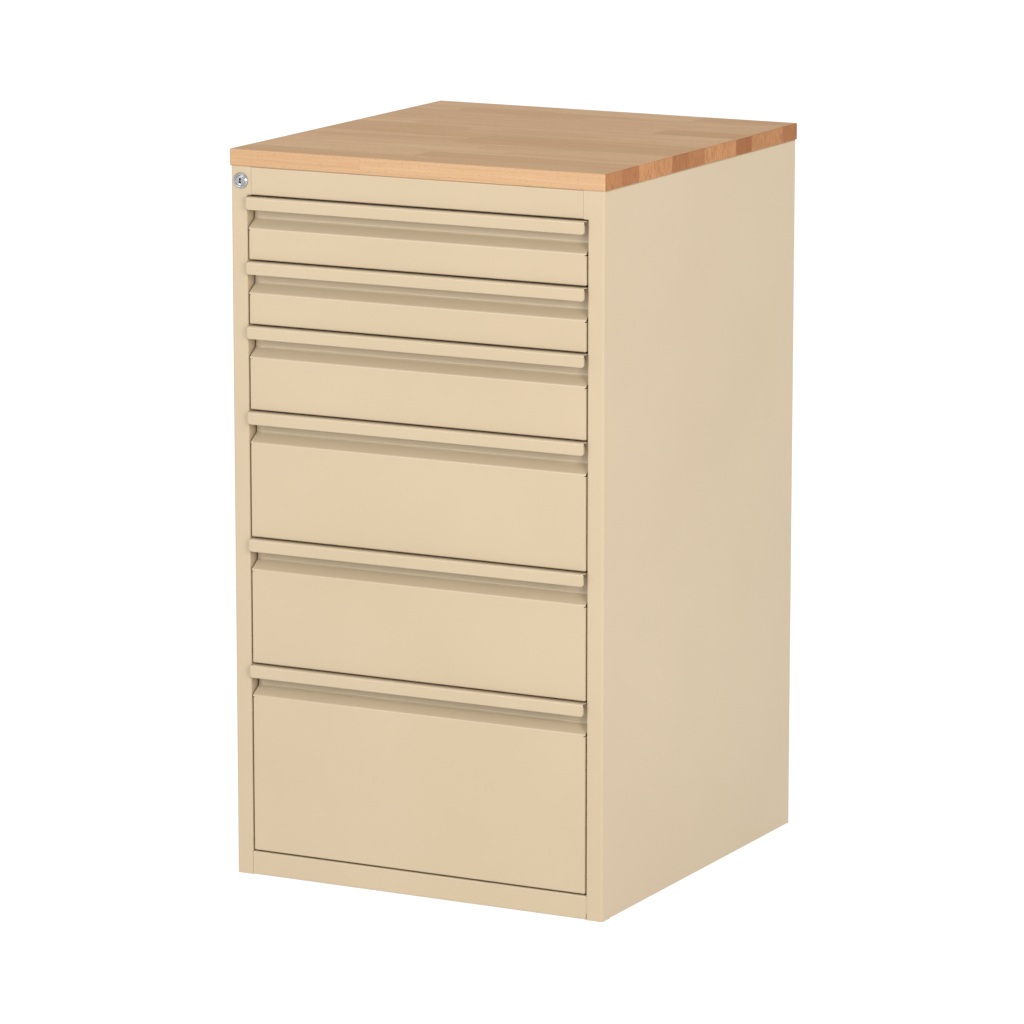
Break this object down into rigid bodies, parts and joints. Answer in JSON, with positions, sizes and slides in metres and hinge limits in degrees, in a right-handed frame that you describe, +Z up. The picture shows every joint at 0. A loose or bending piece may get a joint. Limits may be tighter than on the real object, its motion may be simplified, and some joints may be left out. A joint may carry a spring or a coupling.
{
  "type": "drawer cabinet",
  "caption": "Powder-coated steel drawer cabinet with a beech worktop, pull-lip fronts on full-extension slides, and a cam lock that turns a locking bar.",
  "frame": {"origin": "centre of the footprint of the whole cabinet, at floor level", "axes": "+X to the right when looking at the front, +Y from the drawers to the back, +Z up"},
  "size_m": [0.489, 0.525, 0.871],
  "materials": {
    "powder_coat": "beige powder coat, fine orange-peel texture, satin",
    "beech": "edge-glued steamed beech staves, clear lacquer",
    "zinc": "bright zinc plate",
    "chrome": "polished chrome plate"
  },
  "bodies": {
    "cabinet": {"left_side_panel": "powder_coat", "right_side_panel": "powder_coat", "back_panel": "powder_coat", "base_pan": "powder_coat", "top_rail": "powder_coat", "bottom_rail": "powder_coat", "rear_top_rail": "powder_coat", "front_left_upright": "powder_coat", "front_right_upright": "powder_coat", "rear_left_upright": "powder_coat", "rear_right_upright": "powder_coat", "worktop": "beech", "worktop_screws": "zinc", "slide_screws": "zinc", "lock_housing": "chrome", "lock_nut": "zinc", "lock_bar_guides": "zinc", "drawer_1_cabinet_rails": "zinc", "drawer_2_cabinet_rails": "zinc", "drawer_3_cabinet_rails": "zinc", "drawer_4_cabinet_rails": "zinc", "drawer_5_cabinet_rails": "zinc", "drawer_6_cabinet_rails": "zinc"},
    "lock_core": {"lock_plug": "chrome", "lock_cam": "zinc", "lock_cam_screw": "zinc"},
    "lock_bar": {"lock_bar": "zinc"},
    "drawer_1": {"drawer_1_front": "powder_coat", "drawer_1_box": "powder_coat", "drawer_1_inner_rails": "zinc", "drawer_1_rail_screws": "zinc"},
    "drawer_1_middle": {"drawer_1_middle_rails": "zinc"},
    "drawer_2": {"drawer_2_front": "powder_coat", "drawer_2_box": "powder_coat", "drawer_2_inner_rails": "zinc", "drawer_2_rail_screws": "zinc"},
    "drawer_2_middle": {"drawer_2_middle_rails": "zinc"},
    "drawer_3": {"drawer_3_front": "powder_coat", "drawer_3_box": "powder_coat", "drawer_3_inner_rails": "zinc", "drawer_3_rail_screws": "zinc"},
    "drawer_3_middle": {"drawer_3_middle_rails": "zinc"},
    "drawer_4": {"drawer_4_front": "powder_coat", "drawer_4_box": "powder_coat", "drawer_4_inner_rails": "zinc", "drawer_4_rail_screws": "zinc"},
    "drawer_4_middle": {"drawer_4_middle_rails": "zinc"},
    "drawer_5": {"drawer_5_front": "powder_coat", "drawer_5_box": "powder_coat", "drawer_5_inner_rails": "zinc", "drawer_5_rail_screws": "zinc"},
    "drawer_5_middle": {"drawer_5_middle_rails": "zinc"},
    "drawer_6": {"drawer_6_front": "powder_coat", "drawer_6_box": "powder_coat", "drawer_6_inner_rails": "zinc", "drawer_6_rail_screws": "zinc"},
    "drawer_6_middle": {"drawer_6_middle_rails": "zinc"}
  },
  "joints": [
    {"name": "drawer_1_slide", "type": "slide", "parent": "cabinet", "child": "drawer_1", "axis": [0, -1, 0], "range_m": [0, 0.457]},
    {"name": "drawer_1_middle_slide", "type": "slide", "parent": "cabinet", "child": "drawer_1_middle", "axis": [0, -1, 0], "range_m": [0, 0.2285]},
    {"name": "drawer_2_slide", "type": "slide", "parent": "cabinet", "child": "drawer_2", "axis": [0, -1, 0], "range_m": [0, 0.457]},
    {"name": "drawer_2_middle_slide", "type": "slide", "parent": "cabinet", "child": "drawer_2_middle", "axis": [0, -1, 0], "range_m": [0, 0.2285]},
    {"name": "drawer_3_slide", "type": "slide", "parent": "cabinet", "child": "drawer_3", "axis": [0, -1, 0], "range_m": [0, 0.457]},
    {"name": "drawer_3_middle_slide", "type": "slide", "parent": "cabinet", "child": "drawer_3_middle", "axis": [0, -1, 0], "range_m": [0, 0.2285]},
    {"name": "drawer_4_slide", "type": "slide", "parent": "cabinet", "child": "drawer_4", "axis": [0, -1, 0], "range_m": [0, 0.457]},
    {"name": "drawer_4_middle_slide", "type": "slide", "parent": "cabinet", "child": "drawer_4_middle", "axis": [0, -1, 0], "range_m": [0, 0.2285]},
    {"name": "drawer_5_slide", "type": "slide", "parent": "cabinet", "child": "drawer_5", "axis": [0, -1, 0], "range_m": [0, 0.457]},
    {"name": "drawer_5_middle_slide", "type": "slide", "parent": "cabinet", "child": "drawer_5_middle", "axis": [0, -1, 0], "range_m": [0, 0.2285]},
    {"name": "drawer_6_slide", "type": "slide", "parent": "cabinet", "child": "drawer_6", "axis": [0, -1, 0], "range_m": [0, 0.457]},
    {"name": "drawer_6_middle_slide", "type": "slide", "parent": "cabinet", "child": "drawer_6_middle", "axis": [0, -1, 0], "range_m": [0, 0.2285]},
    {"name": "lock_turn", "type": "hinge", "parent": "cabinet", "child": "lock_core", "pos_m": [-0.23, -0.2565, 0.834], "axis": [0, -1, 0], "range_deg": [0, 90]},
    {"name": "lock_bar_lift", "type": "slide", "parent": "cabinet", "child": "lock_bar", "axis": [0, 0, 1], "range_m": [0, 0.01414]}
  ],
  "couplings": [
    {"joint": "drawer_1_middle_slide", "follows": "drawer_1_slide", "ratio": 0.5},
    {"joint": "drawer_2_middle_slide", "follows": "drawer_2_slide", "ratio": 0.5},
    {"joint": "drawer_3_middle_slide", "follows": "drawer_3_slide", "ratio": 0.5},
    {"joint": "drawer_4_middle_slide", "follows": "drawer_4_slide", "ratio": 0.5},
    {"joint": "drawer_5_middle_slide", "follows": "drawer_5_slide", "ratio": 0.5},
    {"joint": "drawer_6_middle_slide", "follows": "drawer_6_slide", "ratio": 0.5},
    {"joint": "lock_turn", "follows": "lock_bar_lift", "rad_per_m": 111.07}
  ]
}
